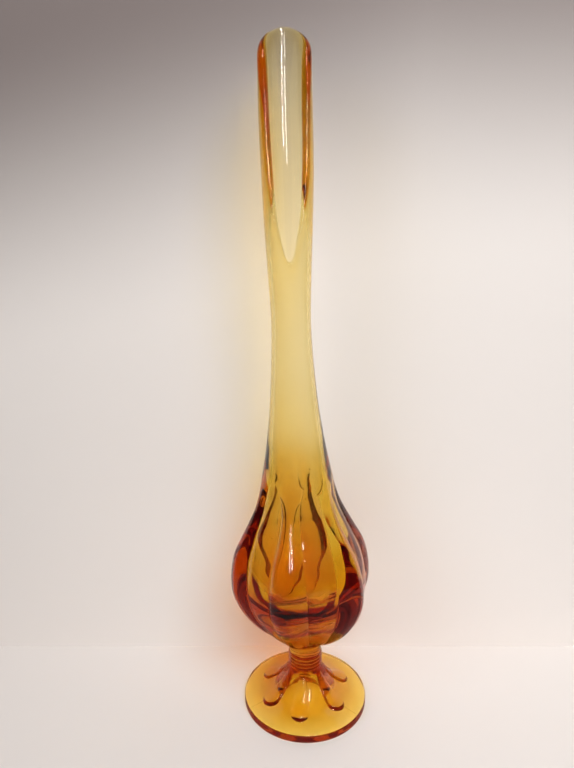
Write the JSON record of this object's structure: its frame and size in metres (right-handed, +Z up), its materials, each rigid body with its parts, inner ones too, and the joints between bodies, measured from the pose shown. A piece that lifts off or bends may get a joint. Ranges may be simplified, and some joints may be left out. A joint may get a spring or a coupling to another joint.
{
  "type": "swung glass vase",
  "caption": "Tall amber glass vase: petalled round foot, ringed stem, lobed bulb drawn out into a slim leaning neck with a slanted open mouth.",
  "frame": {"origin": "on the resting surface, under the middle of the outline's box", "axes": "+Z up along the vase, -Y towards the low front of the slanted mouth, the neck leans towards -X"},
  "size_m": [0.1058, 0.1068, 0.4916],
  "materials": {
    "amber_glass": "fire-polished, clear amber"
  },
  "bodies": {
    "root": {"foot": "amber_glass", "stem": "amber_glass", "body": "amber_glass"}
  },
  "joints": []
}
